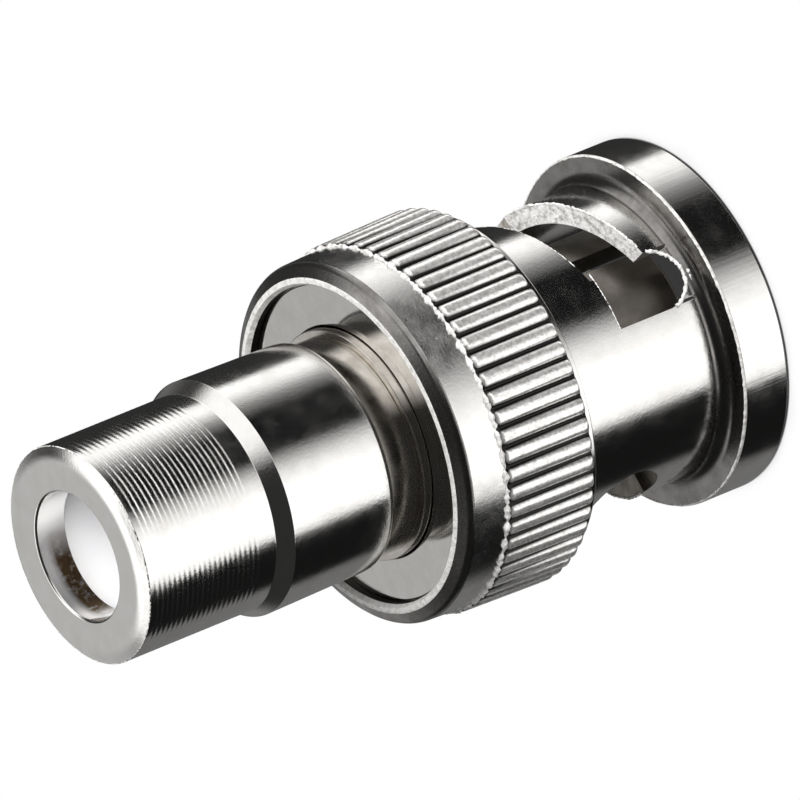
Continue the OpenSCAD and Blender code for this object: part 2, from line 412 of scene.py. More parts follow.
def radius_of(tree, x, y):
    """Distance of a point from the axis."""
    square = math_node(tree, "MULTIPLY_ADD", x, x, math_node(tree, "MULTIPLY", y, y))
    return math_node(tree, "SQRT", square)


def noise_node(tree, vector, per_mm, detail=2.0, rough=0.5):
    """Noise with this many features to the millimetre; returns its grey output."""
    noise = tree.nodes.new("ShaderNodeTexNoise")
    noise.inputs["Scale"].default_value = per_mm / MM
    noise.inputs["Detail"].default_value = detail
    noise.inputs["Roughness"].default_value = rough
    tree.links.new(vector, noise.inputs["Vector"])
    return noise.outputs[0]


def bump_node(tree, height, microns, below=None):
    """Bump of this many microns; returns its normal."""
    bump = tree.nodes.new("ShaderNodeBump")
    bump.inputs["Distance"].default_value = microns * 1e-6
    tree.links.new(height, bump.inputs["Height"])
    if below is not None:
        tree.links.new(below, bump.inputs["Normal"])
    return bump.outputs[0]


# Materials

def material(name, metallic=0.0):
    """New material, its node tree and its main shader."""
    mat = bpy.data.materials.new(name)
    mat.use_nodes = True
    shader = mat.node_tree.nodes["Principled BSDF"]
    shader.inputs["Metallic"].default_value = metallic
    return mat, mat.node_tree, shader


def paint(tree, shader, colour, roughness, normal):
    """Links a material's colour, roughness and normal to its shader."""
    tree.links.new(colour, shader.inputs["Base Color"])
    tree.links.new(roughness, shader.inputs["Roughness"])
    tree.links.new(normal, shader.inputs["Normal"])


def plated(name, clean, dull, polish, cloud, grain, grain_per_mm, lathe, along=0.0):
    """Plated metal: clouded polish, a fine grain, tool marks round the axis and brushing along it."""
    mat, tree, shader = material(name, 1.0)
    point = own_point(tree)
    x, y, z = split_node(tree, point)
    patches = ramp_node(tree, noise_node(tree, point, 1.1, 4.0, 0.6), [(0.35, 0), (0.68, 1)])
    specks = noise_node(tree, point, grain_per_mm, 3.0, 0.65)
    speckled = math_node(tree, "MULTIPLY_ADD", specks, cloud, polish)
    roughness = math_node(tree, "MULTIPLY_ADD", patches, cloud, speckled)
    normal = bump_node(tree, specks, grain)
    if lathe:
        round_axis = math_node(tree, "MULTIPLY", turn_of(tree, x, y), 2e-5)
        marks = vector_node(tree, round_axis, radius_of(tree, x, y), z)
        normal = bump_node(tree, noise_node(tree, marks, 22.0, 2.0), lathe, normal)
    if along:
        round_axis = math_node(tree, "MULTIPLY", turn_of(tree, x, y), 6.5 * MM)
        lines = vector_node(tree, round_axis, 0.0, math_node(tree, "MULTIPLY", z, 0.02))
        normal = bump_node(tree, noise_node(tree, lines, 7.0, 3.0), along, normal)
    paint(tree, shader, mix_node(tree, patches, clean, dull), roughness, normal)
    return mat


def knurled(name):
    """Rolled knurl: pale grainy crowns, and a painted shade at the bottom of the grooves."""
    mat, tree, shader = material(name, 0.72)
    point = own_point(tree)
    x, y, z = split_node(tree, point)
    specks = noise_node(tree, point, 8.0, 3.0, 0.65)
    worn = ramp_node(tree, specks, [(0.36, 1), (0.58, 0)])
    crown = mix_node(tree, worn, (1.0, 0.99, 0.97), (0.66, 0.64, 0.61))
    to_share = 1 / (knurl_depth * MM)
    height = math_node(tree, "MULTIPLY_ADD", radius_of(tree, x, y), to_share, 1 - knurl_r / knurl_depth)
    # painted shade: the colour goes nearly black towards the bottom of the grooves
    groove = ramp_node(tree, height, [(0.34, 1), (0.58, 0)])
    colour = mix_node(tree, groove, crown, (0.015, 0.014, 0.013))
    roughness = math_node(tree, "MULTIPLY_ADD", specks, 0.2, 0.08)
    paint(tree, shader, colour, roughness, bump_node(tree, specks, 6.0))
    return mat


def milled(name, clean, torn_out, sides=True):
    """Rough milled face, torn and speckled. With sides, only faces that point up keep these colours; the
    others get a darker painted shade, as if lit from above.
    """
    mat, tree, shader = material(name, 0.2)
    point = own_point(tree)
    torn = noise_node(tree, point, 5.0, 4.0, 0.7)
    specks = ramp_node(tree, noise_node(tree, point, 4.0, 4.0, 0.7), [(0.34, 1), (0.56, 0)])
    colour = mix_node(tree, specks, clean, torn_out)
    # painted shade: faces that don't point up get dark colours, faces that point up keep the pale ones
    if sides:
        facing = tree.nodes.new("ShaderNodeNewGeometry")
        upright = split_node(tree, facing.outputs["True Normal"])["Z"]
        top = ramp_node(tree, upright, [(0.4, 0), (0.8, 1)])
        colour = mix_node(tree, top, mix_node(tree, torn, (0.22, 0.20, 0.18), (0.40, 0.38, 0.35)), colour)
    roughness = math_node(tree, "MULTIPLY_ADD", torn, 0.3, 0.3)
    normal = bump_node(tree, noise_node(tree, point, 14.0, 2.0), 12.0, bump_node(tree, torn, 90.0))
    paint(tree, shader, colour, roughness, normal)
    return mat


def lip_reflection(name):
    """Plated wall of the opening, with a painted dark brown reflection on one side of its foot."""
    mat, tree, shader = material(name, 1.0)
    point = own_point(tree)
    x, y, z = split_node(tree, point)
    share = math_node(tree, "MULTIPLY_ADD", turn_of(tree, x, y), 0.5 / math.pi, 0.5)
    side = ramp_node(tree, share, [(0.66, 0), (0.74, 1), (0.90, 1), (0.96, 0)])
    depth = math_node(tree, "MULTIPLY_ADD", z, -1 / (lip_l * MM), total_l / lip_l)
    foot = ramp_node(tree, depth, [(0.25, 0), (0.5, 1)])
    patchy = ramp_node(tree, noise_node(tree, point, 2.4, 4.0, 0.65), [(0.30, 0.45), (0.50, 1)])
    # painted reflection: dark brown in patches, on one side of the wall's foot
    dark_reflection = math_node(tree, "MULTIPLY", math_node(tree, "MULTIPLY", side, foot), patchy)
    colour = mix_node(tree, dark_reflection, bright, (0.10, 0.065, 0.035))
    roughness = math_node(tree, "MULTIPLY_ADD", dark_reflection, 0.2, 0.08)
    paint(tree, shader, colour, roughness, bump_node(tree, noise_node(tree, point, 9.0, 3.0), 2.0))
    return mat


def white_plastic():
    """Translucent moulded plastic with a faint mottle."""
    mat, tree, shader = material("white_plastic")
    point = own_point(tree)
    mottle = noise_node(tree, point, 1.6, 3.0)
    colour = mix_node(tree, mottle, (0.88, 0.88, 0.90), (0.84, 0.84, 0.87))
    roughness = math_node(tree, "MULTIPLY_ADD", mottle, 0.2, 0.25)
    shader.inputs["Subsurface Weight"].default_value = 0.7
    shader.inputs["Subsurface Radius"].default_value = (1.0, 1.05, 1.2)
    shader.inputs["Subsurface Scale"].default_value = 1.6 * MM
    paint(tree, shader, colour, roughness, bump_node(tree, noise_node(tree, point, 6.0, 2.0), 2.0))
    return mat


def seal_rubber():
    """Red silicone with a dusty bloom."""
    mat, tree, shader = material("seal_rubber")
    point = own_point(tree)
    bloom = noise_node(tree, point, 3.0, 4.0)
    colour = mix_node(tree, bloom, (0.52, 0.07, 0.045), (0.62, 0.13, 0.09))
    roughness = math_node(tree, "MULTIPLY_ADD", bloom, 0.3, 0.45)
    paint(tree, shader, colour, roughness, bump_node(tree, noise_node(tree, point, 12.0, 2.0), 3.0))
    return mat


bright, dulled = (0.86, 0.85, 0.83), (0.80, 0.78, 0.75)

# Plated finishes: clean colour, dull colour, polish, cloud, grain, grain to the millimetre, tool marks,
# and for some the brushing along the axis
plating = {
    "bright_nickel": (bright, dulled, 0.08, 0.07, 3.4, 9.0, 0.12),
    "satin_nickel": ((0.72, 0.71, 0.69), (0.62, 0.60, 0.57), 0.2, 0.1, 1.5, 9.0, 0.3),
    "gold_plate": ((0.90, 0.70, 0.33), (0.80, 0.58, 0.24), 0.12, 0.1, 0.8, 9.0, 0.2),
    "spring_steel": ((0.62, 0.62, 0.62), (0.50, 0.49, 0.48), 0.2, 0.12, 0.6, 12.0, 0.0, 0.4),
    "washer_nickel": ((0.78, 0.77, 0.75), (0.72, 0.70, 0.67), 0.05, 0.05, 0.4, 9.0, 0.15),
    "body_nickel": ((0.78, 0.75, 0.70), (0.62, 0.58, 0.53), 0.08, 0.08, 1.0, 9.0, 0.3),
    "tarnished_nickel": ((0.34, 0.31, 0.28), (0.24, 0.22, 0.19), 0.3, 0.1, 2.0, 8.0, 0.4),
    "cloudy_nickel": (bright, dulled, 0.13, 0.1, 4.0, 10.0, 0.0),
    # painted shade: a near-black copy of the nickel for the rim's inner wall, under the rim
    "bore_shade_nickel": ((0.06, 0.05, 0.045), (0.03, 0.027, 0.024), 0.25, 0.15, 3.0, 9.0, 0.4),
    "brushed_nickel": (bright, dulled, 0.08, 0.08, 1.5, 9.0, 0.0, 2.6),
    # painted shade: corner_nickel and rear_nickel are darker copies of the nickel, for the flange's back
    # corner and the nut's rear faces
    "corner_nickel": ((0.32, 0.31, 0.30), (0.20, 0.19, 0.18), 0.14, 0.1, 3.0, 9.0, 0.4),
    "rear_nickel": ((0.34, 0.33, 0.32), (0.20, 0.19, 0.18), 0.16, 0.1, 4.0, 9.0, 0.4),
    # painted shade: pocket_nickel is a dark copy of the nickel for the inside of the second slot and the
    # spring sleeve's slits
    "pocket_nickel": ((0.22, 0.20, 0.17), (0.12, 0.11, 0.09), 0.3, 0.15, 4.0, 8.0, 0.0),
}
finishes = {name: plated(name, *values) for name, values in plating.items()}
finishes["white_plastic"] = white_plastic()
finishes["seal_rubber"] = seal_rubber()
finishes["lip_nickel"] = lip_reflection("lip_nickel")
finishes["knurl_nickel"] = knurled("knurl_nickel")
finishes["cut_nickel"] = milled("cut_nickel", (1.0, 0.99, 0.98), (0.42, 0.40, 0.37))
# painted shade: detent_nickel is a darker copy of the milled cut for the first slot's detent pocket
finishes["detent_nickel"] = milled("detent_nickel", (0.62, 0.58, 0.53), (0.24, 0.22, 0.19))
finishes["burr_nickel"] = milled("burr_nickel", (1.0, 0.99, 0.98), (0.55, 0.53, 0.50), False)
finishes["rim_nickel"] = milled("rim_nickel", (0.86, 0.85, 0.83), (0.60, 0.58, 0.55), False)

# Materials of the nut, each with the number of its zone
nut_finishes = [
    finishes[kind + "_nickel"] for kind in (
        "bright", "cut", "knurl", "cloudy", "brushed", "bore_shade", "pocket", "corner", "detent", "rear", "rim")
]
(bright_zone, cut_zone, knurl_zone, cloudy_zone, brushed_zone, bore_shade_zone, pocket_zone, corner_zone,
 detent_zone, rear_zone, rim_zone) = range(len(nut_finishes))

slot_of = {part["node"]: part["material_slot"] for part in frame["record"]["subparts"]}


def stand_for(obj, node, body):
    """Puts a finished piece in the place of a CAD node."""
    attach(obj, body)
    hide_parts(node)


# Phono socket

def phono_shell():
    """Turned shell of the socket, with tool rings on its sleeve."""
    lip_zone, waist_zone = 1, 2
    sleeve_z = total_l - sleeve_l
    barrel_top = sleeve_z - bevel_l
    waist_top = neck_z + waist_l
    seat_r = spigot_r + seat_gap
    pocket_r = insulator_r + seat_gap
    corners = [
        (seat_r, neck_z, edge),
        (waist_r, neck_z, edge, waist_zone),
        (waist_r, waist_top, edge, waist_zone),
        (barrel_r - barrel_taper, waist_top, barrel_round),
        (barrel_r, barrel_top, crisp),
        (sleeve_r, sleeve_z, soft),
        (sleeve_r, total_l - face_edge_l, crisp),
        (sleeve_r - face_edge_w, total_l, face_round),
        (opening_r, total_l, soft, lip_zone),
        (opening_r, insulator_top, sharp),
        (pocket_r, insulator_top, sharp),
        (pocket_r, spigot_top, sharp),
        (seat_r, spigot_top, sharp),
    ]
    past_sleeve_foot = 6
    rings = (past_sleeve_foot, turned_rings(sleeve_r, total_l - ring_end, total_l - ring_start))
    mats = [finishes["bright_nickel"], finishes["lip_nickel"], finishes["body_nickel"]]
    obj = turned("phono_shell_turned", corners, mats, rings)
    stand_for(obj, "phono_shell", "adapter_body")


def phono_insulator():
    """Moulded insulator with the funnel that leads a plug's pin in."""
    funnel_z = insulator_top - funnel_l
    contact_top = funnel_z - funnel_land
    seat_r = contact_r + seat_gap
    hole_r = socket_r + seat_gap
    corners = [
        (seat_r, spigot_top, sharp),
        (insulator_r, spigot_top, edge),
        (insulator_r, insulator_top, edge),
        (opening_r, insulator_top, crisp),
        (hole_r, funnel_z, funnel_round),
        (hole_r, contact_top, sharp),
        (seat_r, contact_top, sharp),
    ]
    obj = turned("phono_insulator_moulded", corners, [finishes["white_plastic"]])
    stand_for(obj, "phono_insulator", "adapter_body")


# Plug body and what it carries

def plug_body():
    """Turned body with its collar, neck and spigot."""
    spring_top = collar_z + spring_seat
    seat_r = spring_r + seat_gap
    hole_r = stem_r + seat_gap
    corners = [
        (seat_r, collar_z, edge),
        (collar_r, collar_z, soft),
        (collar_r, collar_top, soft),
        (neck_r, collar_top, edge),
        (neck_r, neck_z, edge),
        (spigot_r, neck_z, sharp),
        (spigot_r, spigot_top, sharp),
        (hole_r, spigot_top, sharp),
        (hole_r, spring_top, sharp),
        (seat_r, spring_top, sharp),
    ]
    obj = turned("plug_body_turned", corners, [finishes["body_nickel"]])
    stand_for(obj, "plug_body", "adapter_body")


def back_washer():
    """Ring that closes the nut, with a boss that comes up close under the rim."""
    outer, inner = chamber_r - run_gap, neck_r + run_gap
    boss_r = rim_bore_r - run_gap
    boss_top = rim_z - washer_depth
    seat_top = washer_top - seat_gap
    corners = [
        (inner, washer_z, edge),
        (outer, washer_z, edge),
        (outer, seat_top, edge),
        (boss_r, seat_top, sharp),
        (boss_r, boss_top, edge),
        (inner, boss_top, edge),
    ]
    obj = turned("back_washer_turned", corners, [finishes["washer_nickel"]])
    stand_for(obj, "back_washer", "washer")


def wave_washer():
    """Bent strip that rises in waves from the collar up to the back washer, with a mesh of its own."""
    inner, outer = neck_r + 2 * run_gap, collar_r - 2 * run_gap
    strip_top = collar_top + wave_strip
    free_l = washer_z - collar_top
    corners = [
        (inner, collar_top, edge),
        (outer, collar_top, edge),
        (outer, strip_top, edge),
        (inner, strip_top, edge),
    ]
    obj = turned("wave_washer_bent", corners, [finishes["spring_steel"]],
                 lift=(free_l - wave_strip) / 2, waves=wave_count)
    stand_for(obj, "wave_washer", "adapter_body")
    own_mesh(obj)


# Coupling nut

def knurl_radius(angle, z):
    """Radius of the knurled band: ribs with round crowns and round ends."""
    valley = knurl_r - knurl_depth
    share = np.clip((z - knurl_z) / (knurl_top - knurl_z), 0, 1)
    inset = np.clip(np.minimum(z - knurl_z, knurl_top - z) / knurl_end, 0, 1)
    rise = knurl_depth - knurl_taper * share
    across = np.abs((angle * knurl_ribs / (2 * math.pi)) % 1 - 0.5) * 2
    return valley + rise * np.sqrt(1 - (1 - inset) ** 2) * (1 - across ** knurl_crown)


def knurl_heights():
    """Heights of the knurl's rows of vertices, close together at its ends."""
    ends = knurl_end * (1 - np.cos(np.linspace(0, math.pi / 2, 7)))
    middle = np.linspace(knurl_z + knurl_end, knurl_top - knurl_end, 5)[1:-1]
    return np.concatenate([knurl_z + ends, middle, knurl_top - ends[::-1]])


def knurled_rows(angle):
    """Rows of the knurl as vertices, normals and zone."""
    c, s = np.cos(angle), np.sin(angle)
    tiny = 1e-4
    rows = []
    for z in knurl_heights():
        r = knurl_radius(angle, z)
        around = (knurl_radius(angle + tiny, z) - knurl_radius(angle - tiny, z)) / (2 * tiny * r)
        upward = (knurl_radius(angle, z + tiny) - knurl_radius(angle, z - tiny)) / (2 * tiny)
        n = np.stack([c + around * s, s - around * c, -upward], -1)
        n /= np.linalg.norm(n, axis=1, keepdims=True)
        rows.append((np.stack([r * c, r * s, np.full(len(angle), z)], -1), n, knurl_zone))
    return rows


def turned_rows(angle, corners, runs):
    """Rows of an outline as vertices, normals and zone. The corner zone stays on its rounding."""
    c, s = np.cos(angle), np.sin(angle)
    rows = []
    for corner, run in zip(corners, runs):
        for step, ((r, z), (nr, nz)) in enumerate(run):
            zone = zone_after(corner)
            if zone == corner_zone and step == len(run) - 1:
                zone = bright_zone
            verts = np.stack([r * c, r * s, np.full(len(angle), z)], -1)
            rows.append((verts, np.stack([nr * c, nr * s, np.full(len(angle), nz)], -1), zone))
    return rows


def nut_blank():
    """Turned and knurled blank of the nut. Its normals are kept in an attribute for the slot cuts."""
    front_r = knurl_r - knurl_depth - run_gap
    relief_r = rim_bore_r + rim_relief
    front = [
        (bore_r + mouth_chamfer, 0, edge, brushed_zone),
        (flange_r - mouth_chamfer, 0, edge, brushed_zone),
        (flange_r, mouth_chamfer, edge, brushed_zone),
        (flange_r, flange_l - flange_chamfer, fine, cut_zone),
        # the flange's rear face gets the rear painted shade, and the back corner's rounding the corner
        # painted shade
        (flange_r - flange_chamfer, flange_l, fine, rear_zone),
        (nut_r, flange_l, nut_fillet, corner_zone),
        (nut_r, grip_z, grip_round),
        (front_r, grip_z, grip_round),
        (front_r, knurl_z, hair),
    ]
    rear = [
        (shoulder_r, knurl_top, fine, cloudy_zone),
        # the rim's rear slope gets the rear painted shade
        (rim_r, rim_z - rim_round_l, rim_round, rear_zone),
        (rim_turn_r, rim_z - rim_turn_l, rim_round, rim_zone),
        (rim_crest_r, rim_z, edge, rim_zone),
        # the rim's inner wall, under the rim, gets the near-black painted shade
        (rim_bore_r, rim_z - rim_bevel_l, rim_bevel_round, bore_shade_zone),
        (rim_bore_r, rim_z - washer_depth, hair),
        (relief_r, rim_z - washer_depth - rim_relief, hair),
        (relief_r, washer_top, fine),
        (chamber_r, washer_top, edge),
        (chamber_r, seat_z, edge),
        (bore_r, seat_z, edge),
        (bore_r, mouth_chamfer, edge),
    ]
    runs = outline(front + rear, nut_corner_steps)
    columns = knurl_ribs * knurl_steps
    angle = np.arange(columns) * 2 * math.pi / columns
    rows = turned_rows(angle, front, runs)
    rows += knurled_rows(angle)
    rows += turned_rows(angle, rear, runs[len(front):])
    verts, normals, zones = zip(*rows)
    obj = new_object("coupling_nut_turned", np.concatenate(verts), ring_faces(len(rows), columns))
    dress(obj, nut_finishes)
    shade_smooth(obj.data)
    obj.data.polygons.foreach_set("material_index", np.repeat(zones, columns))
    kept = obj.data.attributes.new("blank_normal", "FLOAT_VECTOR", "POINT")
    kept.data.foreach_set("vector", np.concatenate(normals).ravel())
    return obj


def prism(name, outline_yz, x0, x1, turn):
    """Solid cutter that carries an outline in Y and Z along X, then turns it about the axis."""
    count = len(outline_yz)
    verts = [(x, y, z) for x in (x0, x1) for y, z in outline_yz]
    faces = [tuple(range(count))[::-1], tuple(range(count, 2 * count))]
    faces += [(i, (i + 1) % count, count + (i + 1) % count, count + i) for i in range(count)]
    obj = new_object(name, verts, faces)
    obj.data.transform(Matrix.Rotation(math.radians(turn), 4, "Z"))
    return obj


def arc(y, z, radius, start, end, steps=slot_steps):
    """Points of an arc in the plane of Y and Z."""
    turns = [math.radians(start + (end - start) * k / steps) for k in range(steps + 1)]
    return [(y + radius * math.cos(t), z + radius * math.sin(t)) for t in turns]


def ramp_height(lead):
    """Height of the ramp's middle at a turn past the entry."""
    return ramp_z + ramp_rise * lead / ramp_turn


def ramp_cutter(turn):
    """Rising band through the wall, from the entry to the detent."""
    inner, outer = bore_r - past, nut_r + past
    verts, faces = [], []
    for k in range(slot_steps + 1):
        lead = ramp_start + (ramp_turn - ramp_start) * k / slot_steps
        c, s = math.cos(math.radians(lead)), math.sin(math.radians(lead))
        for r, side in ((inner, -1), (outer, -1), (outer, 1), (inner, 1)):
            verts.append((r * c, r * s, ramp_height(lead) + side * ramp_w / 2))
    for k in range(slot_steps):
        a, b = 4 * k, 4 * k + 4
        faces += [(a + i, b + i, b + (i + 1) % 4, a + (i + 1) % 4) for i in range(4)]
    last = 4 * slot_steps
    faces += [(0, 1, 2, 3), (last + 3, last + 2, last + 1, last)]
    obj = new_object("ramp_cutter", verts, faces)
    obj.data.transform(Matrix.Rotation(math.radians(turn), 4, "Z"))
    return obj


def slot_cutters(turn):
    """Cutters of one bayonet slot: entry groove, entry window, ramp and detent."""
    half = entry_w / 2
    side, top = half - seat_gap, entry_top - seat_gap
    groove = [(-side, -past), (side, -past), (side, top), (-side, top)]
    window = arc(0, entry_z + half, half, 180, 360) + [(half, entry_top), (-half, entry_top)]
    detent = arc(0, ramp_z + ramp_rise - detent_drop, detent_d / 2, 0, 360)[:-1]
    return [
        prism("groove_cutter", groove, past, entry_r, turn),
        prism("window_cutter", window, bore_r - past, nut_r + past, turn),
        ramp_cutter(turn),
        prism("detent_cutter", detent, bore_r - past, nut_r + past, turn + ramp_turn),
    ]


def cut(obj, cutters):
    """Takes (cutter, zone) pairs out of an object; the cut faces get the material of that zone."""
    for cutter, zone in cutters:
        dress(cutter, list(obj.data.materials))
        cutter.data.polygons.foreach_set("material_index", [zone] * len(cutter.data.polygons))
        modifier = obj.modifiers.new(cutter.name, "BOOLEAN")
        modifier.operation = "DIFFERENCE"
        modifier.solver = "MANIFOLD"
        modifier.object = cutter
    shape = obj.evaluated_get(bpy.context.evaluated_depsgraph_get())
    mesh = bpy.data.meshes.new_from_object(shape)
    obj.modifiers.clear()
    obj.data = mesh
    for cutter, zone in cutters:
        bpy.data.objects.remove(cutter)


def smooth_blank(mesh):
    """Gives what is left of the blank its turned normals, and the cut faces their own."""
    mesh.set_sharp_from_angle(angle=math.radians(sharp_angle))
    shade_smooth(mesh)
    corner = np.zeros(len(mesh.loops) * 3, np.float32)
    mesh.corner_normals.foreach_get("vector", corner)
    corner = corner.reshape(-1, 3)
    vertex = np.zeros(len(mesh.loops), np.int32)
    mesh.loops.foreach_get("vertex_index", vertex)
    kept = np.zeros(len(mesh.vertices) * 3, np.float32)
    mesh.attributes["blank_normal"].data.foreach_get("vector", kept)
    kept = kept.reshape(-1, 3)[vertex]
    zones = np.zeros(len(mesh.polygons), np.int32)
    mesh.polygons.foreach_get("material_index", zones)
    length = np.zeros(len(mesh.polygons), np.int32)
    mesh.polygons.foreach_get("loop_total", length)
    not_cut = np.repeat(~np.isin(zones, (cut_zone, pocket_zone, detent_zone)), length)
    has_normal = np.linalg.norm(kept, axis=1) > 0.5
    turned_side = not_cut & has_normal
    corner[turned_side] = kept[turned_side]
    mesh.normals_split_custom_set(corner.tolist())


def coupling_nut():
    """Blank with its two slots; the inside of the one that faces away from the camera gets a painted shade.
    """
    obj = nut_blank()
    # the first slot's detent gets the detent's painted shade
    first = list(zip(slot_cutters(entry_angle), (cut_zone, cut_zone, cut_zone, detent_zone)))
    # the second slot's cut faces get the pocket's painted shade
    second = [(cutter, pocket_zone) for cutter in slot_cutters(entry_angle + 180)]
    cut(obj, first + second)
    smooth_blank(obj.data)
    stand_for(obj, "coupling_nut", "nut")


# Spring sleeve

def spring_sleeve():
    """Slit sleeve of the plug; its fingers reach the depth of the standard interface."""
    # the slit faces get the pocket's painted shade
    slit_zone = 1
    top = collar_z + spring_seat
    bore = spring_r - spring_wall
    half = finger_gap / 2
    reach = spring_r + past
    corners = [
        (bore, spring_tip, edge),
        (spring_r - spring_lead, spring_tip, crisp),
        (spring_r, spring_tip + spring_lead, crisp),
        (spring_r, top, edge),
        (bore, top, edge),
    ]
    obj = turned("spring_sleeve_slit", corners, [finishes["tarnished_nickel"], finishes["pocket_nickel"]])
    slit_z, slit_top = spring_tip - past, spring_tip + finger_l
    slit = [(-half, slit_z), (half, slit_z), (half, slit_top), (-half, slit_top)]
    cutters = [prism("slit_cutter", slit, -reach, reach, finger_turn + quarter) for quarter in (0, 90)]
    cut(obj, [(cutter, slit_zone) for cutter in cutters])
    obj.data.set_sharp_from_angle(angle=math.radians(sharp_angle))
    stand_for(obj, "spring_sleeve", "adapter_body")


# Burrs

def burr(name, path, size, closed, body="nut", beads=0):
    """Torn bead of metal along a path of points; its thickness wanders, or swells into a count of beads."""
    sides = burr_sides
    points = np.array(path)
    count = len(points)
    chance = np.random.default_rng(count)
    ahead = np.roll(points, -1, 0) - np.roll(points, 1, 0)
    if not closed:
        ahead[0], ahead[-1] = points[1] - points[0], points[-1] - points[-2]
    ahead /= np.linalg.norm(ahead, axis=1, keepdims=True)
    out = points * (1, 1, 0) / np.linalg.norm(points[:, :2], axis=1, keepdims=True)
    side = np.cross(ahead, out)
    thick = size * (burr_least + (1 - burr_least) * chance.random(count))
    if beads:
        swell = np.abs(np.sin(np.arange(count) * math.pi * beads / count))
        thick *= bead_least + (1 - bead_least) * swell
    shift = size * burr_stray * (chance.random((count, 2)) - 0.5)
    turn = np.arange(sides) * 2 * math.pi / sides
    verts = (
        points[:, None]
        + (shift[:, :1] + thick[:, None] * np.cos(turn))[..., None] * out[:, None]
        + (shift[:, 1:] + thick[:, None] * np.sin(turn))[..., None] * side[:, None]
    ).reshape(-1, 3)
    faces = []
    for j in range(count if closed else count - 1):
        a, b = j * sides, (j + 1) % count * sides
        faces += [(a + i, a + (i + 1) % sides, b + (i + 1) % sides, b + i) for i in range(sides)]
    if not closed:
        faces += [tuple(range(sides))[::-1], tuple(range((count - 1) * sides, count * sides))]
    obj = new_object(name, verts, faces)
    shade_smooth(obj.data)
    dress(obj, [finishes["burr_nickel"]])
    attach(obj, body)


def on_axis(lead, radius, z):
    """Point at a turn about the axis, a radius and a height."""
    return radius * math.cos(math.radians(lead)), radius * math.sin(math.radians(lead)), z


def round_burr(kind, radius, z, steps, body="nut", beads=0):
    """Burr round a whole edge."""
    size, sunk, shift = burr_of[kind]
    path = [on_axis(360 * k / steps, radius - sunk, z + shift) for k in range(steps)]
    burr(kind + "_burr", path, size, True, body, beads)


def ramp_burr(kind, number, turn, span, side):
    """Burr along one edge of a slot's ramp."""
    size, sunk, shift = burr_of[kind]
    path = []
    for k in range(burr_slot_steps + 1):
        lead = span[0] + (span[1] - span[0]) * k / burr_slot_steps
        path.append(on_axis(turn + lead, nut_r - sunk, ramp_height(lead) + side * ramp_w / 2 + shift))
    burr(f"{kind}_burr_{number}", path, size, False)


def window_burr(number, turn):
    """Burr along the rear edge of a slot's entry."""
    size, sunk, shift = burr_of["window"]
    spread = math.degrees(math.asin(entry_w / 2 / nut_r))
    middle = burr_short_steps / 2
    path = []
    for k in range(burr_short_steps + 1):
        path.append(on_axis(turn + spread * (k / middle - 1), nut_r - sunk, entry_top + shift))
    burr(f"window_burr_{number}", path, size, False)


def mouth_burr(number, turn):
    """Burr round the front end of a slot's entry."""
    size, sunk, shift = burr_of["mouth"]
    half = entry_w / 2
    path = []
    for y, z in arc(0, entry_z + half, half + mouth_burr_out, *mouth_burr_span, burr_short_steps):
        path.append(on_axis(turn + math.degrees(math.asin(y / nut_r)), nut_r - sunk, z + shift))
    burr(f"mouth_burr_{number}", path, size, False)


def exit_burr(number, turn):
    """Torn edge that the cutter left in front of a slot's entry."""
    size, sunk, shift = burr_of["exit"]
    path = []
    for k in range(exit_burr_steps):
        lead = turn + exit_burr_step * k + exit_burr_from
        path.append(on_axis(lead, nut_r - sunk, entry_z + shift - exit_burr_fall * k))
    burr(f"exit_burr_{number}", path, size, False)


def burrs():
    """Burrs round the flange, the knurl's rear ends and the phono face, and along both slots."""
    round_burr("flange", flange_r, flange_l, burr_round_steps)
    round_burr("knurl", shoulder_r, knurl_top, bead_steps * knurl_ribs, beads=knurl_ribs)
    round_burr("face", sleeve_r, total_l - face_edge_l, burr_round_steps, body="adapter_body")
    for number, turn in enumerate((entry_angle, entry_angle + 180)):
        ramp_burr("ramp", number, turn, ramp_burr_span, -1)
        ramp_burr("rear", number, turn, rear_burr_span, 1)
        window_burr(number, turn)
        mouth_burr(number, turn)
        exit_burr(number, turn)


# Camera at the photograph's viewing angle, with the part's axis rising across the frame
elevation = math.radians(31.29)
tilt = math.radians(22.13)
face_pixel = (76.9, 556.6)
pixels = 800
pixels_per_mm = 27.78
distance = 1000.0
sensor = 36.0
clip_near = 50.0
clip_far = 20000.0


def photo_camera():
    """Camera whose frame shows the phono face at its pixel of the photograph."""
    along = Vector((0, -math.sin(elevation), -math.cos(elevation)))
    across = Vector((1, 0, 0))
    back = along.cross(across)
    right = math.cos(tilt) * along - math.sin(tilt) * across
    up = math.sin(tilt) * along + math.cos(tilt) * across
    aim = (
        Vector((0, 0, total_l))
        + right * (pixels / 2 - face_pixel[0]) / pixels_per_mm
        + up * (face_pixel[1] - pixels / 2) / pixels_per_mm
    )
    data = bpy.data.cameras.new("camera")
    data.lens = sensor * distance * pixels_per_mm / pixels
    data.sensor_width = sensor
    data.clip_start = clip_near * MM
    data.clip_end = clip_far * MM
    camera = bpy.data.objects.new("camera", data)
    camera.matrix_world = (
        Matrix.Translation((aim + back * distance) * MM)
        @ Matrix((right, up, back)).transposed().to_4x4()
    )
    bpy.context.scene.collection.objects.link(camera)
    bpy.context.scene.camera = camera


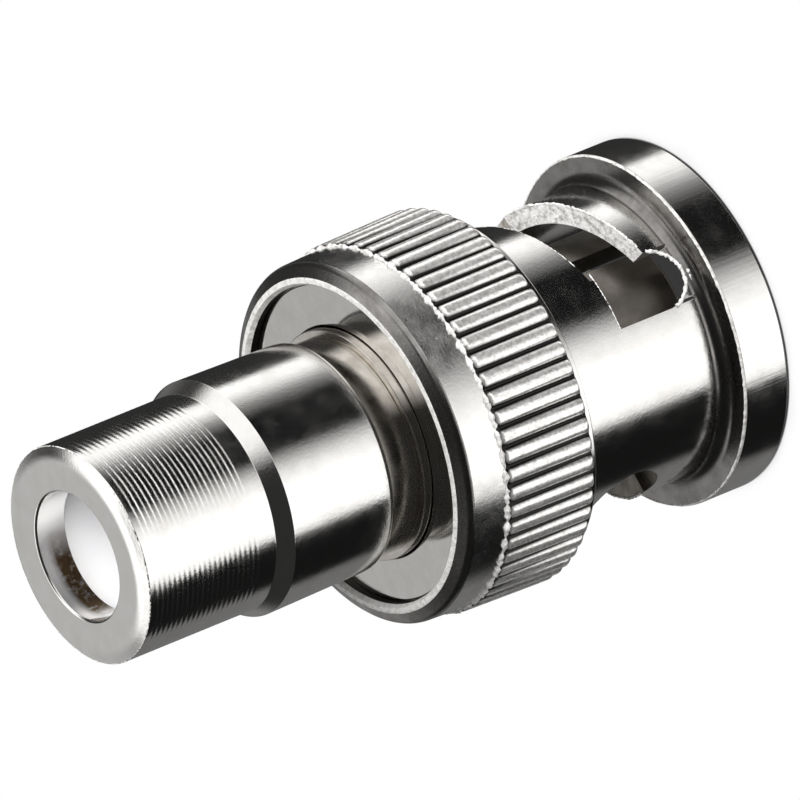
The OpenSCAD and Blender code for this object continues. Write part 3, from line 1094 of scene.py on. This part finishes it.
# Studio tent: grey levels by bearing from +Y towards +X, for four belts from low down to the roof
low_bands = [
    (0, 0.02), (67, 0.02), (72, 0.95), (86, 0.85), (104, 0.2), (118, 0.006), (158, 0.006), (180, 0.7),
    (198, 1), (226, 1), (238, 0.8), (243, 0.006), (297, 0.006), (303, 0.12), (360, 0.12),
]
middle_bands = [
    (0, 0.1), (62, 0.1), (70, 1), (170, 1), (182, 0.9), (239, 0.9), (243, 0.02), (297, 0.02),
    (303, 0.15), (360, 0.15),
]
high_bands = [
    (0, 0.36), (10, 0.36), (20, 0.04), (66, 0.03), (82, 0.85), (145, 0.8), (170, 0.02), (322, 0.02),
    (338, 0.3), (350, 0.36), (360, 0.36),
]
roof_bands = [
    (0, 1), (60, 1), (95, 0.7), (125, 0.03), (310, 0.03), (335, 1), (360, 1),
]
# Shares of the tent's height over which one belt gives way to the next, and the dark cap above the roof
to_middle = [(0.31, 0), (0.345, 1)]
to_high = [(0.40, 0), (0.49, 1)]
to_roof = [(0.82, 0), (0.87, 1)]
to_cap = [(0.955, 0), (0.98, 1)]
cap_grey = (0.03, 0.03, 0.03)
tent_strength = 1.4
tent_r = 250.0
tent_rows, tent_columns = 24, 48


def empty_material(name):
    """New material with an empty node tree and its output."""
    mat = bpy.data.materials.new(name)
    mat.use_nodes = True
    mat.node_tree.nodes.clear()
    return mat, mat.node_tree, mat.node_tree.nodes.new("ShaderNodeOutputMaterial")


def tent_cloth():
    """Glowing cloth of the tent, with its bands of grey."""
    mat, tree, out = empty_material("tent_cloth")
    x, y, z = split_node(tree, own_point(tree))
    bearing = math_node(tree, "MULTIPLY", math_node(tree, "ARCTAN2", x, y), 0.5 / math.pi)
    bearing = math_node(tree, "FRACT", bearing)
    lift = math_node(tree, "MULTIPLY_ADD", z, 0.5 / (tent_r * MM), 0.5)
    low, middle, high, roof = (
        ramp_node(tree, bearing, [(degrees / 360, level) for degrees, level in bands])
        for bands in (low_bands, middle_bands, high_bands, roof_bands)
    )
    cloth = low
    for step, above in ((to_middle, middle), (to_high, high), (to_roof, roof), (to_cap, cap_grey)):
        cloth = mix_node(tree, ramp_node(tree, lift, step), cloth, above)
    glow = tree.nodes.new("ShaderNodeEmission")
    tree.links.new(cloth, glow.inputs["Color"])
    glow.inputs["Strength"].default_value = tent_strength
    tree.links.new(glow.outputs[0], out.inputs["Surface"])
    return mat


def studio_tent():
    """Tent of white cloth and dark cards that the metal mirrors and the camera doesn't see."""
    verts, faces = [], []
    for j in range(tent_rows + 1):
        lift = math.pi * (j / tent_rows - 0.5)
        for i in range(tent_columns):
            turn = 2 * math.pi * i / tent_columns
            level_r = tent_r * math.cos(lift)
            verts.append((level_r * math.cos(turn), level_r * math.sin(turn), tent_r * math.sin(lift)))
    for j in range(tent_rows):
        for i in range(tent_columns):
            a, b = j * tent_columns, (j + 1) * tent_columns
            k = (i + 1) % tent_columns
            faces.append((a + i, b + i, b + k, a + k))
    tent = new_object("studio_tent", verts, faces)
    tent.location.z = total_l / 2 * MM
    tent.visible_camera = False
    tent.visible_shadow = False
    dress(tent, [tent_cloth()])


# Floor and lamp
floor_half = 2000.0
floor_drop = 0.01
floor_grey = (0.8, 0.8, 0.8, 1)
shadow_reach = 25.0
shadow_stops = [(0.3, 0.04), (0.55, 1)]
lamp_size = 250.0
lamp_energy = 1.9
lamp_distance = 400.0
lamp_towards = (0.3, -0.62, 0.72)


def floor_paper():
    """Pale paper that the camera sees as white, shaded where the part stands over it."""
    mat, tree, out = empty_material("floor_paper")
    paper = tree.nodes.new("ShaderNodeBsdfDiffuse")
    paper.inputs["Color"].default_value = floor_grey
    open_sky = tree.nodes.new("ShaderNodeAmbientOcclusion")
    open_sky.inputs["Distance"].default_value = shadow_reach * MM
    glow = tree.nodes.new("ShaderNodeEmission")
    tree.links.new(ramp_node(tree, open_sky.outputs["AO"], shadow_stops), glow.inputs["Color"])
    path = tree.nodes.new("ShaderNodeLightPath")
    seen = math_node(tree, "MAXIMUM", path.outputs["Is Camera Ray"], path.outputs["Is Transmission Ray"])
    mix = tree.nodes.new("ShaderNodeMixShader")
    tree.links.new(seen, mix.inputs["Fac"])
    tree.links.new(paper.outputs[0], mix.inputs[1])
    tree.links.new(glow.outputs[0], mix.inputs[2])
    tree.links.new(mix.outputs[0], out.inputs["Surface"])
    return mat


def pale_floor():
    """Floor just under the nut's mouth."""
    half, z = floor_half, -floor_drop
    corners = [(-half, -half, z), (half, -half, z), (half, half, z), (-half, half, z)]
    floor = new_object("floor", corners, [(0, 1, 2, 3)])
    floor.visible_glossy = False
    dress(floor, [floor_paper()])


def soft_lamp():
    """Plain light from the front for what isn't a mirror."""
    data = bpy.data.lights.new("soft_lamp", "AREA")
    data.shape = "DISK"
    data.size = lamp_size * MM
    data.energy = lamp_energy
    lamp = bpy.data.objects.new("soft_lamp", data)
    towards = Vector(lamp_towards)
    lamp.location = towards * lamp_distance * MM
    lamp.rotation_euler = towards.to_track_quat("Z", "Y").to_euler()
    lamp.visible_glossy = False
    bpy.context.scene.collection.objects.link(lamp)


def white_world():
    """Plain white surroundings."""
    world = bpy.data.worlds.new("studio")
    world.use_nodes = True
    ground = world.node_tree.nodes["Background"]
    ground.inputs["Color"].default_value = (1, 1, 1, 1)
    ground.inputs["Strength"].default_value = 1.0
    bpy.context.scene.world = world


for name, cad in frame["nodes"].items():
    dress(cad, [finishes[slot_of[name]]])

phono_shell()
phono_insulator()
plug_body()
back_washer()
wave_washer()
spring_sleeve()
coupling_nut()
burrs()

photo_camera()
studio_tent()
pale_floor()
soft_lamp()
white_world()
bpy.context.scene.view_settings.view_transform = "Standard"
